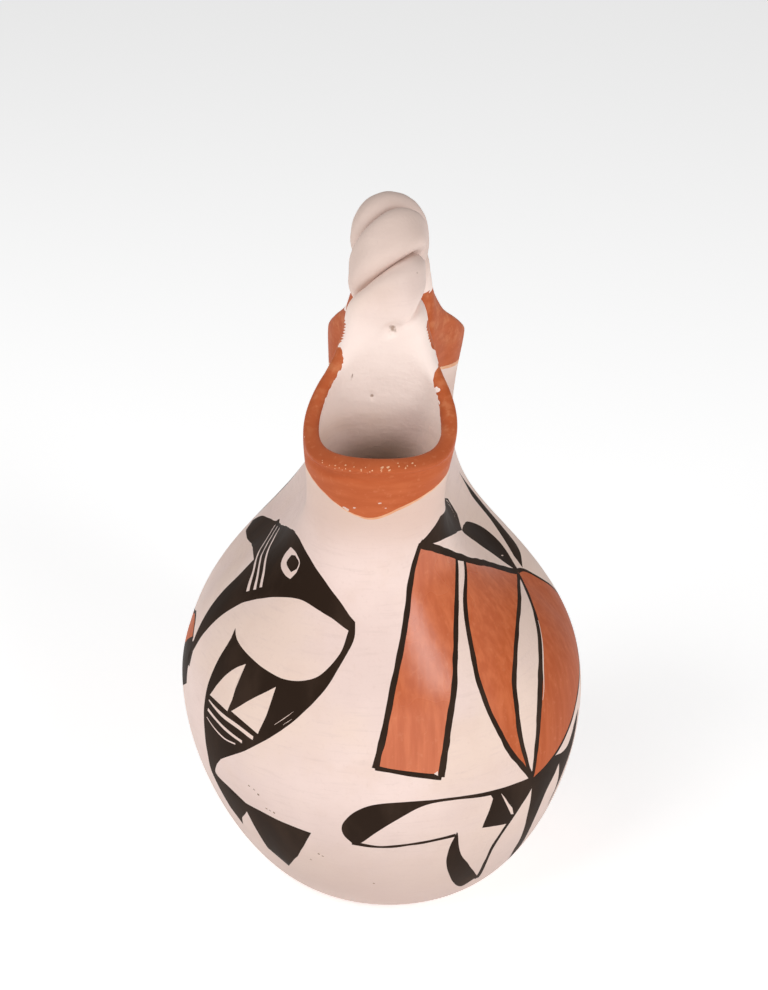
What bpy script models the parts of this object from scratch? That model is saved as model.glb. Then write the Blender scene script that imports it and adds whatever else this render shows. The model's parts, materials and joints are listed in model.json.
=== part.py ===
"""Pueblo wedding jar: one fired clay vessel with two leaning spouts and a twisted rope handle between them.

The frame has its origin on the table in the middle of the foot, with Z up.
The spouts lean along Y, and the handle arches from one to the other over the middle.
All sizes are in metres.
"""

import math

import bmesh
import bpy
from mathutils import Vector
from mathutils.geometry import interpolate_bezier

# Belly and foot
FOOT_RADIUS = 0.0365
BELLY_RADIUS = 0.0698
BELLY_HEIGHT = 0.070
BELLY_SWAY = 0.0033
NECK_SWAY = 0.0007
SHOULDER_SWAY = 0.0020
SHOULDER_HEIGHT = 0.120
SHOULDER_SPAN = 0.036
FOOT_FULLNESS = 0.0115
LOWER_FULLNESS = 0.0345
UPPER_FULLNESS = 0.0440
WALL = 0.0048

# Spouts
NECK_RADIUS = 0.0218
NECK_HEIGHT = 0.158
NECK_FULLNESS = 0.0365
RIM_RADIUS = 0.0236
RIM_HEIGHT = 0.186
FLARE_START = 0.5
FLARE_END = 0.25
SPOUT_REACH = 0.0426
LEAN_START = 0.070

# Each rim dips at the front, and climbs and leans back at the back, into a tongue that carries the handle
TONGUE_RISE = 0.0190
FRONT_DIP = 0.0037
TILT_LENGTH = 0.026
BACK_FLARE = 0.004

# Handle: two clay coils pressed together and twisted, with its roots smoothed into the back walls
HANDLE_RISE = 0.046
COIL_OFFSET = 0.0042
COIL_DEPTH = 0.0078
COIL_BREADTH = 0.0100
TWIST_TURNS = 2.3
TWIST_EASE = 0.2
TWIST_AT_TOP = math.radians(32.0)
ARCH_FULLNESS = 0.55
ROOT_BREADTH = 1.12
ROOT_DEPTH = 0.55
ROOT_SQUARENESS = 3.5
ROOT_LENGTH = 0.018
ROOT_DROP = 0.016
TAIL_BREADTH = 0.008
TAIL_DEPTH = 0.0015

# Saddle between the spouts: the clay is drawn towards the middle there, and the crease is smoothed
SADDLE_PULL = 0.030
SADDLE_RISE = 0.050
SADDLE_FALL = 0.020
SADDLE_ROUNDING = 0.022
SADDLE_PASSES = 12

# Fineness of the faceted skin
RING_SIDES = 36
ARC_STEPS = 11
NECK_STEPS = 16
RIM_STEPS = 4
LIP_STEPS = 4
HANDLE_SIDES = 16
HANDLE_STEPS = 26

CLAY_COLOUR = (0.84, 0.70, 0.62, 1.0)
CLAY_ROUGHNESS = 0.62


def smoothstep(value):
    """0 up to 0, 1 from 1 on, and a smooth S between them."""
    t = min(max(value, 0.0), 1.0)
    return t * t * (3.0 - 2.0 * t)


def blend(start, end, share):
    return start + (end - start) * share


def sway(z):
    """Sideways drift of the hand-built wall: belly, shoulder and necks are not quite over the foot."""
    turn = math.pi * min(z / RIM_HEIGHT, 1.0)
    shoulder = max(1.0 - ((z - SHOULDER_HEIGHT) / SHOULDER_SPAN) ** 2, 0.0) ** 2
    return NECK_SWAY * math.sin(2.0 * turn) - BELLY_SWAY * math.sin(turn) - SHOULDER_SWAY * shoulder


def spout_lean(z):
    """Distance along Y from the jar's middle to a spout's centre at this height."""
    return SPOUT_REACH * smoothstep((z - LEAN_START) / (RIM_HEIGHT - LEAN_START))


def saddle_pull(z):
    """Length by which a ring's back is drawn out towards the middle, to fill the saddle under the necks."""
    full = NECK_HEIGHT - SADDLE_FALL
    rise = smoothstep((z - full) / SADDLE_RISE + 1.0)
    return SADDLE_PULL * rise * smoothstep((NECK_HEIGHT - z) / SADDLE_FALL)


def outer_profile():
    """(radius, height) up the outside of one half, from the foot's edge to just under the lip."""
    lip_base = RIM_HEIGHT - WALL / 2.0
    belly = Vector((BELLY_RADIUS, BELLY_HEIGHT))
    neck = Vector((NECK_RADIUS, NECK_HEIGHT))
    flare_rise = lip_base - NECK_HEIGHT
    arcs = (
        (
            Vector((FOOT_RADIUS, 0.0)),
            Vector((FOOT_RADIUS + FOOT_FULLNESS, 0.0)),
            belly - Vector((0.0, LOWER_FULLNESS)),
            belly,
            ARC_STEPS,
        ),
        (
            belly,
            belly + Vector((0.0, UPPER_FULLNESS)),
            neck - Vector((0.0, NECK_FULLNESS)),
            neck,
            NECK_STEPS,
        ),
        (
            neck,
            neck + Vector((0.0, FLARE_START * flare_rise)),
            Vector((RIM_RADIUS, lip_base - FLARE_END * flare_rise)),
            Vector((RIM_RADIUS, lip_base)),
            RIM_STEPS,
        ),
    )
    points = []
    for start, start_handle, end_handle, end, steps in arcs:
        arc = interpolate_bezier(start, start_handle, end_handle, end, steps + 1)
        points += arc if not points else arc[1:]
    return [point.xy for point in points]


def inner_profile(outer):
    """The outer profile set in by the wall's thickness, square to the surface."""
    points = []
    for i, point in enumerate(outer):
        along = (outer[min(i + 1, len(outer) - 1)] - outer[max(i - 1, 0)]).normalized()
        outward = Vector((along.y, -along.x))
        if i == 0:
            outward = Vector((0.0, -1.0))
        if i == len(outer) - 1:
            outward = Vector((1.0, 0.0))
        points.append(point - WALL * outward)
    return points


def lip_profile():
    """(radius, height) over the rounded lip, from the outside to the inside."""
    half_wall = WALL / 2.0
    centre = Vector((RIM_RADIUS - half_wall, RIM_HEIGHT - half_wall))
    angles = [math.pi * step / LIP_STEPS for step in range(1, LIP_STEPS)]
    return [centre + half_wall * Vector((math.cos(a), math.sin(a))) for a in angles]


def climb(z, towards_middle):
    """Height that the tilted rim adds, where towards_middle runs from -1 at the front to 1 at the back."""
    share = smoothstep(1.0 - (RIM_HEIGHT - z) / TILT_LENGTH)
    slope = (TONGUE_RISE + FRONT_DIP) / 2.0
    bend = (TONGUE_RISE - FRONT_DIP) / 2.0
    return share * (slope * towards_middle + bend * towards_middle**2)


def back_flare(z, towards_middle):
    """Length by which the rim's back leans towards the middle."""
    share = smoothstep(1.0 - (RIM_HEIGHT - z) / TILT_LENGTH)
    return BACK_FLARE * share * max(towards_middle, 0.0) ** 2


def ring(radius, z):
    """One ring of the near half, round the spout's centre: level below, and tilted near the rim."""
    back_reach = radius + saddle_pull(z)
    points = []
    for side in range(RING_SIDES):
        angle = 2.0 * math.pi * side / RING_SIDES
        x = radius * math.cos(angle) + sway(z)
        back = math.sin(angle)
        y = (back_reach if back > 0.0 else radius) * back - spout_lean(z) + back_flare(z, back)
        points.append(Vector((x, y, z + climb(z, back))))
    return points


def loft(name, rings, ends):
    """A closed skin over rings that all have the same number of points, with a fan to a point at each end."""
    model = bmesh.new()
    rows = [[model.verts.new(point) for point in points] for points in rings]
    sides = len(rows[0])
    for row, following in zip(rows, rows[1:]):
        for i in range(sides):
            j = (i + 1) % sides
            model.faces.new((row[i], row[j], following[j], following[i]))
    for tip, row in zip(ends, (rows[0], rows[-1])):
        apex = model.verts.new(tip)
        for i in range(sides):
            model.faces.new((row[i], row[(i + 1) % sides], apex))
    bmesh.ops.recalc_face_normals(model, faces=model.faces)
    mesh = bpy.data.meshes.new(name)
    model.to_mesh(mesh)
    model.free()
    obj = bpy.data.objects.new(name, mesh)
    bpy.context.scene.collection.objects.link(obj)
    return obj


def make_vessel():
    """The near half as one hollow shell, and the Mirror that cuts it at the middle and adds the far half."""
    outer = outer_profile()
    inner = inner_profile(outer)
    path = outer + lip_profile() + inner[::-1]
    rings = [ring(point.x, point.y) for point in path]
    middle = Vector((sway(0.0), 0.0, 0.0))
    vessel = loft("wedding_jar", rings, (middle, middle + Vector((0.0, 0.0, WALL))))

    saddle = vessel.vertex_groups.new(name="saddle")
    for vertex in vessel.data.vertices:
        place = vertex.co
        closeness = 1.0 - abs(place.y) / SADDLE_ROUNDING
        creased = smoothstep((place.z - LEAN_START) / SADDLE_ROUNDING)
        if closeness > 0.0 and creased > 0.0 and place.z < NECK_HEIGHT:
            saddle.add([vertex.index], closeness * creased, "REPLACE")

    mirror = vessel.modifiers.new("Far half", "MIRROR")
    mirror.use_axis = (False, True, False)
    mirror.use_bisect_axis = (False, True, False)
    mirror.use_bisect_flip_axis = (False, True, False)
    mirror.bisect_threshold = 0.000002
    mirror.merge_threshold = 0.00001
    smooth = vessel.modifiers.new("Rounded saddle", "SMOOTH")
    smooth.vertex_group = saddle.name
    smooth.iterations = SADDLE_PASSES
    return vessel


def back_wall(point):
    """(y, height) in the middle of the near spout's back wall, at this point of the outer profile."""
    reach = point.x + saddle_pull(point.y) + back_flare(point.y, 1.0) - WALL / 2.0
    return Vector((reach - spout_lean(point.y), point.y + climb(point.y, 1.0)))


def handle_line():
    """(y, height) along the handle: up the inside of one back wall, over the arch and down the other."""
    tail = [back_wall(point) for point in outer_profile()[-1 - RIM_STEPS :]]
    root = tail[-1]
    apex = Vector((0.0, RIM_HEIGHT + HANDLE_RISE))
    upright = ARCH_FULLNESS * (apex.y - root.y) * (root - tail[-2]).normalized()
    level = Vector((ARCH_FULLNESS * root.x, 0.0))
    arch = interpolate_bezier(root, root + upright, apex + level, apex, HANDLE_STEPS + 1)
    half = tail + [point.xy for point in arch[1:]]
    return half + [Vector((-p.x, p.y)) for p in half[-2::-1]]


def coil_reach(angle):
    """Distance from the handle's middle to the surface of two pressed coils, at this angle from the first."""
    c = abs(math.cos(angle))
    s = math.sin(angle)
    curve = (c / COIL_DEPTH) ** 2 + (s / COIL_BREADTH) ** 2
    pull = COIL_OFFSET * c / COIL_DEPTH**2
    spare = 1.0 - (COIL_OFFSET / COIL_DEPTH) ** 2
    return (pull + math.sqrt(pull**2 + curve * spare)) / curve


def make_handle():
    """The twisted pair of coils as one tube, whose two-lobed section turns along the handle's line."""
    line = handle_line()
    lengths = [0.0]
    for here, following in zip(line, line[1:]):
        lengths.append(lengths[-1] + (following - here).length)
    whole, tail = lengths[-1], lengths[RIM_STEPS]
    full = COIL_OFFSET + COIL_DEPTH
    across = Vector((1.0, 0.0, 0.0))
    rings = []
    for i, middle in enumerate(line):
        along = (line[min(i + 1, len(line) - 1)] - line[max(i - 1, 0)]).normalized()
        outward = Vector((0.0, -along.y, along.x))
        from_end = min(lengths[i], whole - lengths[i])
        from_top = min(max((lengths[i] - tail) / (whole - 2.0 * tail), 0.0), 1.0) - 0.5
        turns = TWIST_TURNS * from_top * (1.0 + TWIST_EASE * (1.0 - 4.0 * from_top**2))
        turn = TWIST_AT_TOP + 2.0 * math.pi * turns
        twisted = smoothstep((from_end - tail) / ROOT_LENGTH)
        sunk = smoothstep(1.0 - from_end / (tail - ROOT_DROP))
        breadth = blend(blend(ROOT_BREADTH, 1.0, twisted), TAIL_BREADTH / full, sunk)
        depth = blend(blend(ROOT_DEPTH, 1.0, twisted), TAIL_DEPTH / full, sunk)
        centre = Vector((sway(RIM_HEIGHT), middle.x, middle.y))
        points = []
        for side in range(HANDLE_SIDES):
            angle = 2.0 * math.pi * side / HANDLE_SIDES
            cosine, sine = math.cos(angle - turn), math.sin(angle - turn)
            roundness = abs(cosine) ** ROOT_SQUARENESS + abs(sine) ** ROOT_SQUARENESS
            reach = blend(full / roundness ** (1.0 / ROOT_SQUARENESS), coil_reach(angle), twisted)
            points.append(centre + reach * (breadth * cosine * across + depth * sine * outward))
        rings.append(points)
    ends = [sum(rings[end], Vector((0.0, 0.0, 0.0))) / HANDLE_SIDES for end in (0, -1)]
    handle = loft("twisted_handle", rings, ends)
    handle.hide_render = True
    handle.display_type = "WIRE"
    return handle


def join_handle(vessel, handle):
    """One fired piece: the handle's clay runs into both back walls."""
    union = vessel.modifiers.new("Twisted handle", "BOOLEAN")
    union.operation = "UNION"
    union.solver = "EXACT"
    union.object = handle


def clay_material():
    material = bpy.data.materials.new("slipped_clay")
    material.use_nodes = True
    shader = material.node_tree.nodes["Principled BSDF"]
    shader.inputs["Base Color"].default_value = CLAY_COLOUR
    shader.inputs["Roughness"].default_value = CLAY_ROUGHNESS
    shader.inputs["Metallic"].default_value = 0.0
    material.diffuse_color = CLAY_COLOUR
    return material


def main():
    for obj in list(bpy.data.objects):
        bpy.data.objects.remove(obj)
    vessel = make_vessel()
    vessel.data.materials.append(clay_material())
    join_handle(vessel, make_handle())
    vessel.data.shade_smooth()


main()
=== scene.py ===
"""Looks of the wedding jar: its fine surface with the painted design, and a plain studio round it.

Sizes are in metres unless a name says otherwise. The frame is the solid's own: Z up, the foot's middle at the
origin, and the near spout towards -Y. A place on one half of the wall is (turn, rise): the turn round the
spout's own centre, from its front, in radians, and the rise along the wall, from the foot's edge up the
outside, over the lip and down the inside. Rise is counted in radii, so that turn and rise keep true angles.
"""

import json
import math

import bmesh
import bpy
import numpy as np
from mathutils import Matrix, Vector, noise
from mathutils.bvhtree import BVHTree
from mathutils.geometry import delaunay_2d_cdt
from mathutils.kdtree import KDTree

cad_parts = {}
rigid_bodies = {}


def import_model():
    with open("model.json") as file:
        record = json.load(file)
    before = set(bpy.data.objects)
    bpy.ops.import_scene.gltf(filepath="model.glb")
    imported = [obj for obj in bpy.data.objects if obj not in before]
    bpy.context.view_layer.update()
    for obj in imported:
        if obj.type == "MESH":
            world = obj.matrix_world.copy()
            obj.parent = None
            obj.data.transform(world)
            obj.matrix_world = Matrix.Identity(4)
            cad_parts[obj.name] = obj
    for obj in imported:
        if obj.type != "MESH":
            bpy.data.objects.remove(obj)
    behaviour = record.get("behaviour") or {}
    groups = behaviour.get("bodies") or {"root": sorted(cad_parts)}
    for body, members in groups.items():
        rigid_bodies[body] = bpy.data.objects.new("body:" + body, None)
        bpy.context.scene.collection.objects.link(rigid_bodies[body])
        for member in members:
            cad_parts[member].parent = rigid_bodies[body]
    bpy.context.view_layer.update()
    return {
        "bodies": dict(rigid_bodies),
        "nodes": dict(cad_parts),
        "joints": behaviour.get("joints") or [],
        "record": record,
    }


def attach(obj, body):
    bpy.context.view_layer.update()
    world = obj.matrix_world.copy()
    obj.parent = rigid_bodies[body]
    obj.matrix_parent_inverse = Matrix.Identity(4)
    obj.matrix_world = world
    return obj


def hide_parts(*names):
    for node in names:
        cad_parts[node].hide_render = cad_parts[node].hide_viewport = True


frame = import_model()

MM = 0.001

# The wall, with the solid's own sizes
FOOT_RADIUS = 0.0365
BELLY_RADIUS = 0.0698
BELLY_HEIGHT = 0.070
BELLY_SWAY = 0.0033
NECK_SWAY = 0.0007
SHOULDER_SWAY = 0.0020
SHOULDER_HEIGHT = 0.120
SHOULDER_SPAN = 0.036
FOOT_FULLNESS = 0.0115
LOWER_FULLNESS = 0.0345
UPPER_FULLNESS = 0.0440
WALL = 0.0048
NECK_RADIUS = 0.0218
NECK_HEIGHT = 0.158
NECK_FULLNESS = 0.0365
RIM_RADIUS = 0.0236
RIM_HEIGHT = 0.186
FLARE_START = 0.5
FLARE_END = 0.25
SPOUT_REACH = 0.0426
LEAN_START = 0.070
TONGUE_RISE = 0.0190
FRONT_DIP = 0.0037
TILT_LENGTH = 0.026
BACK_FLARE = 0.004
SADDLE_PULL = 0.030
SADDLE_RISE = 0.050
SADDLE_FALL = 0.020

# The handle, with the solid's own sizes
HANDLE_RISE = 0.046
COIL_OFFSET = 0.0042
COIL_DEPTH = 0.0078
COIL_BREADTH = 0.0100
TWIST_TURNS = 2.3
TWIST_EASE = 0.2
TWIST_AT_TOP = math.radians(32.0)
ARCH_FULLNESS = 0.55
ROOT_BREADTH = 1.12
ROOT_DEPTH = 0.55
ROOT_SQUARENESS = 3.5
ROOT_LENGTH = 0.018
ROOT_DROP = 0.016
TAIL_BREADTH = 0.008
TAIL_DEPTH = 0.0015
TAIL_STEPS = 4

# Fineness of the surface
OUTSIDE_STEP = 0.0021
LIP_STEP = 0.0009
BORE_STEP = 0.0018
INSIDE_STEP = 0.0045
HANDLE_STEP = 0.0009
HANDLE_SIDES = 160
DISC_RINGS = 6
SECTION_STEPS = 240
LIP_STEPS = 40
ARCH_STEPS = 200
POINT_CLEARANCE = 0.45
SEAM_CLEARANCE = 0.008
WELD_DISTANCE = 0.000004

# Rounding where the two halves meet and where the handle grows out of the back walls
SADDLE_BLEND = 0.012
SADDLE_FILL = 2.0
SADDLE_ZONE = 0.024
SADDLE_PASSES = 6
ROOT_BLEND = 0.009
ROOT_ZONE = 0.012
ROOT_PASSES = 4
HANDLE_ZONE = 0.040

# Marks of the hand: the groove between the coils, the dents and pits of the handle, the fold along a rim's
# front, and the orange on the sides and back of the handle's roots, between two heights
CREASE_DEPTH = 0.0014
CREASE_WIDTH = 0.11
DENT_DEPTH = 0.00035
DENT_SCALE = 85.0
DENT_FADE = 0.02
FOLD_HEIGHT = 0.0015
FOLD_WIDTH = 0.070
FOLD_REACH = 0.3
ROOT_ORANGE = (0.1797, 0.2080)
ROOT_SAG = 18.0
ROOT_EDGE = 0.0127
ROOT_RAGGED = 0.0012
PIT_SHARE = 0.45
PITS = (((0.0023, -0.0243, 0.2082), 0.0024), ((-0.0039, -0.0259, 0.1867), 0.0009))

# The camera, fitted to the photograph, and where it aims
LENS = 89.06
PITCH = math.radians(25.67)
YAW = math.radians(3.67)
ROLL = math.radians(-0.05)
AIM = (-0.0018, 0.0, 0.1399)
DISTANCE = 0.6387

# The studio: azimuth and elevation in degrees, size in metres and power in watts of each soft light
LIGHT_AIM = (0.0, 0.0, 0.12)
LIGHT_DISTANCE = 1.3
KEY_LIGHT = (-50.0, 43.0, (0.8, 0.8), 7.3)
SIDE_LIGHT = (43.0, 23.0, (0.34, 0.85), 6.8)
SKY_GLOW = 0.27
FLOOR_GLOW = 0.50
FLOOR_COLOUR = (0.92, 0.92, 0.92, 1.0)
FLOOR_REACH = 6.0
WHITE = (1.0, 1.0, 1.0, 1.0)

# Slots of the jar's faces: slip, the two paints, the thin edge of the orange one, and the bare clay inside,
# whose finish also paints shade deep in the bores
SLIP, ORANGE, BLACK, WASH, CLAY = 0, 1, 2, 3, 4

# The orange band round a rim, in degrees and millimetres: how far it runs past a full turn, its pale margin,
# where the bare clay begins, and the rubbed spots along its front
BAND_OVERRUN = 8.0
BAND_MARGIN = 0.8
BARE_DEPTH = 3.5
RUBS = 30
RUB_TURNS = (-40.0, 30.0)
RUB_LEAST = 0.22

# The brush, in degrees or millimetres: spacing of points, clearance at the halves' edge, and unsteadiness
PAINT_STEP = 1.1
EDGE_CLEARANCE = 0.12
BRUSH_WOBBLE = 0.22
HAND_SCALE = 0.16
HAND_SHIFT = 0.20
CLOSEST_POINTS = 0.05
HAND_SEED = 1


def smoothstep(value):
    t = np.clip(value, 0.0, 1.0)
    return t * t * (3.0 - 2.0 * t)


def blend(start, end, share):
    return start + (end - start) * share


def uneven(*place):
    return noise.noise(Vector(place))


def sway(z):
    turn = np.pi * np.minimum(z / RIM_HEIGHT, 1.0)
    shoulder = np.maximum(1.0 - ((z - SHOULDER_HEIGHT) / SHOULDER_SPAN) ** 2, 0.0) ** 2
    return NECK_SWAY * np.sin(2.0 * turn) - BELLY_SWAY * np.sin(turn) - SHOULDER_SWAY * shoulder


def spout_lean(z):
    return SPOUT_REACH * smoothstep((z - LEAN_START) / (RIM_HEIGHT - LEAN_START))


def saddle_pull(z):
    full = NECK_HEIGHT - SADDLE_FALL
    rise = smoothstep((z - full) / SADDLE_RISE + 1.0)
    return SADDLE_PULL * rise * smoothstep((NECK_HEIGHT - z) / SADDLE_FALL)


def climb(z, towards_middle):
    share = smoothstep(1.0 - (RIM_HEIGHT - z) / TILT_LENGTH)
    slope = (TONGUE_RISE + FRONT_DIP) / 2.0
    bend = (TONGUE_RISE - FRONT_DIP) / 2.0
    return share * (slope * towards_middle + bend * towards_middle**2)


def back_flare(z, towards_middle):
    share = smoothstep(1.0 - (RIM_HEIGHT - z) / TILT_LENGTH)
    return BACK_FLARE * share * np.maximum(towards_middle, 0.0) ** 2


def bezier(start, start_handle, end_handle, end, steps):
    t = np.linspace(0.0, 1.0, steps + 1)[:, None]
    points = (1 - t) ** 3 * start + 3 * (1 - t) ** 2 * t * start_handle
    return points + 3 * (1 - t) * t**2 * end_handle + t**3 * end


def outer_arcs(steps):
    """(radius, height) along the outside's three arcs, from the foot's edge to just under the lip."""
    lip_base = RIM_HEIGHT - WALL / 2.0
    rise = lip_base - NECK_HEIGHT
    foot = np.array((FOOT_RADIUS, 0.0))
    belly = np.array((BELLY_RADIUS, BELLY_HEIGHT))
    neck = np.array((NECK_RADIUS, NECK_HEIGHT))
    rim = np.array((RIM_RADIUS, lip_base))
    lower = bezier(foot, foot + (FOOT_FULLNESS, 0.0), belly - (0.0, LOWER_FULLNESS), belly, steps)
    upper = bezier(belly, belly + (0.0, UPPER_FULLNESS), neck - (0.0, NECK_FULLNESS), neck, steps)
    flare = bezier(neck, neck + (0.0, FLARE_START * rise), rim - (0.0, FLARE_END * rise), rim, steps)
    return lower, upper, flare


class Wall:
    """The wall's section: radius and height against the rise, from the foot's edge to the floor's edge."""

    def __init__(self):
        lower, upper, flare = outer_arcs(SECTION_STEPS)
        outer = np.concatenate((lower, upper[1:], flare[1:]))
        along = np.gradient(outer, axis=0)
        along /= np.linalg.norm(along, axis=1)[:, None]
        inner = outer - WALL * np.stack((along[:, 1], -along[:, 0]), axis=1)
        half = WALL / 2.0
        over = np.linspace(0.0, np.pi, LIP_STEPS + 1)[1:-1]
        middle = np.array((RIM_RADIUS - half, RIM_HEIGHT - half))
        lip = middle + half * np.stack((np.cos(over), np.sin(over)), axis=1)
        path = np.concatenate((outer, lip, inner[::-1]))
        self.radii, self.heights = path.T
        steps = np.linalg.norm(np.diff(path, axis=0), axis=1)
        mean_radii = (self.radii[1:] + self.radii[:-1]) / 2.0
        self.rises = np.concatenate(((0.0,), np.cumsum(steps / mean_radii)))
        self.neck = self.rises[len(lower) + len(upper) - 2]
        self.lip = self.rises[len(outer) - 1]
        self.lip_end = self.rises[len(outer) + len(lip)]
        self.inner_neck = self.rises[len(outer) + len(lip) + len(flare) - 1]
        self.end = self.rises[-1]
        self.outside = len(outer)
        self.outer_heights = self.heights[: self.outside]
        reaches = self.radii + saddle_pull(self.heights)
        free = spout_lean(self.heights) > reaches
        self.crotches = []
        for i in np.flatnonzero(free[1:] != free[:-1]):
            gaps = spout_lean(self.heights[i : i + 2]) - reaches[i : i + 2]
            share = gaps[0] / (gaps[0] - gaps[1])
            self.crotches.append(self.rises[i] + share * (self.rises[i + 1] - self.rises[i]))

    def radius(self, rise):
        return np.interp(rise, self.rises, self.radii)

    def height(self, rise):
        return np.interp(rise, self.rises, self.heights)

    def rise_at(self, height):
        """The rise of a height on the outside."""
        return np.interp(height, self.outer_heights, self.rises[: self.outside])

    def widest_turn(self, rise):
        """The turn where this half meets the other: a quarter below, a half where the spout stands free."""
        z = self.height(rise)
        reach = self.radius(rise) + saddle_pull(z)
        return np.pi / 2.0 + np.arcsin(np.minimum(spout_lean(z) / reach, 1.0))

    def polar(self, azimuth, rise):
        """(turn, distance from the middle) of a place on the half seen in this direction, in radians."""
        z = self.height(rise)
        radius, lean = self.radius(rise), spout_lean(z)
        reach = radius + saddle_pull(z)
        sine, cosine = np.sin(azimuth), np.cos(azimuth)
        front = lean * cosine + np.sqrt(np.maximum(radius**2 - (lean * sine) ** 2, 0.0))
        square = (sine / radius) ** 2 + (cosine / reach) ** 2
        pull = cosine * lean / reach**2
        spare = np.maximum(pull**2 - square * ((lean / reach) ** 2 - 1.0), 0.0)
        back = (pull + np.sqrt(spare)) / square
        ahead = front * cosine >= lean
        distance = np.where(ahead, front, back)
        deep = np.where(ahead, radius, reach)
        return np.arctan2(distance * sine / radius, (distance * cosine - lean) / deep), distance

    def place(self, turn, rise):
        radius = self.radius(rise)
        z = self.height(rise)
        x = radius * np.sin(turn) + sway(z)
        reach = radius + np.where(np.cos(turn) < 0.0, saddle_pull(z), 0.0)
        y = -reach * np.cos(turn) - spout_lean(z) + back_flare(z, -np.cos(turn))
        return np.stack((x, y, z + climb(z, -np.cos(turn))), axis=-1)


wall = Wall()


def spread(outlines, seams):
    """The half's skin in the plane of turn and rise: points, triangles, and each triangle's slot.

    outlines are (slot, points) in painting order. seams are further rises where the halves have to match.
    """
    rises = [0.0]
    while rises[-1] < wall.end:
        here = rises[-1]
        marks = (0.0, wall.neck, wall.lip, wall.lip_end, wall.inner_neck, wall.inner_neck + 0.9, wall.end)
        steps = (OUTSIDE_STEP, OUTSIDE_STEP, LIP_STEP, LIP_STEP, BORE_STEP, INSIDE_STEP, INSIDE_STEP)
        rises.append(here + np.interp(here, marks, steps) / wall.radius(here))
    rises = np.array(rises) * wall.end / rises[-1]

    points = []
    for i, rise in enumerate(rises[1:-1]):
        reach = wall.widest_turn(rise)
        step = (rises[i + 2] - rises[i]) / 2.0
        count = max(int(round(2.0 * reach / step)), 4)
        places = (np.arange(count) + (0.5 if i % 2 else 1.0)) / count
        places = places[places < 1.0 - 0.4 / count]
        points += [(-reach + 2.0 * reach * place, rise) for place in places]
    grid = np.array(points)

    seams = np.array(sorted(list(seams) + wall.crotches))
    sides = np.unique(np.concatenate((rises, seams)))
    sides = sides[np.concatenate(((True,), np.diff(sides) > 1e-6))]
    close = np.isin(sides, rises) & (np.gradient(sides) < 0.012) & ~np.isin(sides, seams)
    close &= np.min(np.abs(sides[:, None] - seams[None, :]), axis=1) < SEAM_CLEARANCE
    close[[0, -1]] = False
    sides = sides[~close]
    reach = wall.widest_turn(sides)
    frame = [np.stack((reach, sides), axis=1), np.stack((-reach, sides), axis=1)]
    for end, rise in ((0, rises[0]), (-1, rises[-1])):
        count = 2 * int(np.pi * wall.radius(rise) / OUTSIDE_STEP / (1.0 if end == 0 else 2.0) / 2.0)
        turns = np.linspace(-np.pi / 2.0, np.pi / 2.0, count + 1)
        frame.append(np.stack((turns, np.full(count + 1, rise)), axis=1))

    lines = [(line, False) for line in frame] + [(outline, True) for _, outline in outlines]
    places, edges = [], []
    for line, closed in lines:
        first = len(places)
        places += [tuple(point) for point in line]
        edges += [(first + i, first + i + 1) for i in range(len(line) - 1)]
        if closed:
            edges.append((first + len(line) - 1, first))
    lined = np.array(places)

    tree = KDTree(len(lined) * 2)
    for i, (start, end) in enumerate(edges):
        for place in (lined[start], (lined[start] + lined[end]) / 2.0):
            tree.insert((*place, 0.0), i)
    tree.balance()
    sizes = np.interp(grid[:, 1], rises, np.gradient(rises))
    for point, size in zip(grid, sizes):
        if tree.find((*point, 0.0))[2] > POINT_CLEARANCE * size:
            places.append(tuple(point))

    flat = delaunay_2d_cdt([Vector(place) for place in places], edges, [], 0, 1e-7, False)
    points = np.array([tuple(v) for v in flat[0]])
    triangles = np.array(list(flat[2]))
    middles = points[triangles].mean(axis=1)
    inside = within(middles, np.concatenate((frame[0], frame[1][::-1])))
    triangles, middles = triangles[inside], middles[inside]
    slots = np.full(len(triangles), SLIP)
    for slot, outline in outlines:
        slots[within(middles, outline)] = slot
    return points, triangles, slots


def within(places, outline):
    """Which places lie inside a closed outline."""
    low, high = outline.min(axis=0), outline.max(axis=0)
    near = np.flatnonzero(((places > low) & (places < high)).all(axis=1))
    x, y = places[near].T
    odd = np.zeros(len(near), bool)
    for (ax, ay), (bx, by) in zip(outline, np.roll(outline, -1, axis=0)):
        if ay == by:
            continue
        crosses = (ay > y) != (by > y)
        odd ^= crosses & (x < ax + (y - ay) * (bx - ax) / (by - ay))
    found = np.zeros(len(places), bool)
    found[near[odd]] = True
    return found


def both_halves(skins):
    """The near half's skin and the far half's, which is turned half round, as one bmesh."""
    model = bmesh.new()
    rise_layer = model.verts.layers.float.new("rise")
    for (points, triangles, slots), is_far in zip(skins, (False, True)):
        used, triangles = np.unique(triangles, return_inverse=True)
        triangles = triangles.reshape(-1, 3)
        turn, rise = points[used].T
        places = wall.place(turn, rise)
        reach = wall.widest_turn(rise)
        edge = (np.abs(np.abs(turn) - reach) < 0.002) & (np.abs(places[:, 1]) < 0.0002)
        places[edge, 1] = 0.0
        if is_far:
            places *= (-1.0, -1.0, 1.0)
            places[:, 0] += 2.0 * sway(wall.height(rise))
        row = [model.verts.new(place) for place in places]
        for vertex, value in zip(row, rise):
            vertex[rise_layer] = value
        for corners, slot in zip(triangles, slots):
            face = model.faces.new([row[i] for i in corners])
            face.material_index = int(slot)
    bmesh.ops.remove_doubles(model, verts=model.verts, dist=WELD_DISTANCE)
    return model


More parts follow.
